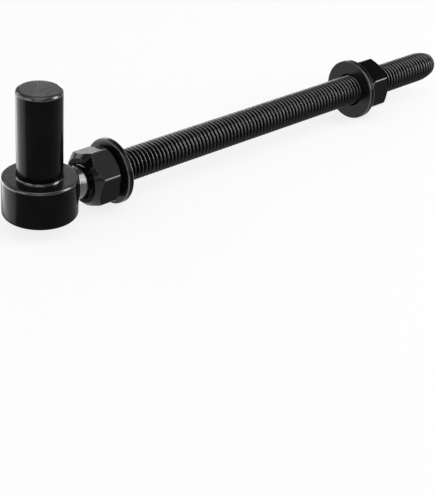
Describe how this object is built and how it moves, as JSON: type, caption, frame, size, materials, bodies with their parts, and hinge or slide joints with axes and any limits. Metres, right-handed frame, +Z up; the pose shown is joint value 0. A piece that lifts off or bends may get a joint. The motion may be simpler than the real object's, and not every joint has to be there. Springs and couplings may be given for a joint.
{
  "type": "adjustable gate hinge",
  "caption": "Adjustable gate hinge: an upright gudgeon pin on a round collar, carried by a long threaded rod with nuts and washers that clamp it through a gate post.",
  "frame": {"origin": "on the gudgeon pin's axis, at the collar's top face, where the pin leaves the collar", "axes": "+Z up along the gudgeon pin, +X along the threaded rod from the collar to its free tip, +Y to the left of someone who looks along +X from behind the collar"},
  "size_m": [0.2187, 0.0264, 0.0512],
  "materials": {
    "gudgeon_pin": "satin black",
    "collar": "satin black",
    "threaded_rod": "satin black over a rolled thread",
    "inner_nut": "satin black",
    "inner_washer": "satin black",
    "outer_washer": "satin black",
    "outer_nut": "satin black"
  },
  "bodies": {
    "pin_and_rod": {"threaded_rod": "threaded_rod", "collar": "collar", "gudgeon_pin": "gudgeon_pin"},
    "inner_washer": {"inner_washer": "inner_washer"},
    "inner_nut": {"inner_nut": "inner_nut"},
    "outer_washer": {"outer_washer": "outer_washer"},
    "outer_nut": {"outer_nut": "outer_nut"}
  },
  "joints": [
    {"name": "inner_washer_slide", "type": "slide", "parent": "pin_and_rod", "child": "inner_washer", "axis": [1, 0, 0], "range_m": [0, 0.0595]},
    {"name": "inner_nut_turn", "type": "hinge", "parent": "inner_washer", "child": "inner_nut", "pos_m": [0.0236, 0, -0.00725], "axis": [1, 0, 0], "range_deg": [0, 12240]},
    {"name": "outer_washer_slide", "type": "slide", "parent": "pin_and_rod", "child": "outer_washer", "axis": [1, 0, 0], "range_m": [-0.0595, 0.0245]},
    {"name": "outer_nut_turn", "type": "hinge", "parent": "outer_washer", "child": "outer_nut", "pos_m": [0.1643, 0, -0.00725], "axis": [1, 0, 0], "range_deg": [-12240, 5040]}
  ],
  "couplings": [
    {"joint": "inner_washer_slide", "follows": "inner_nut_turn", "m_per_rad": 0.00027852},
    {"joint": "outer_washer_slide", "follows": "outer_nut_turn", "m_per_rad": 0.00027852}
  ]
}
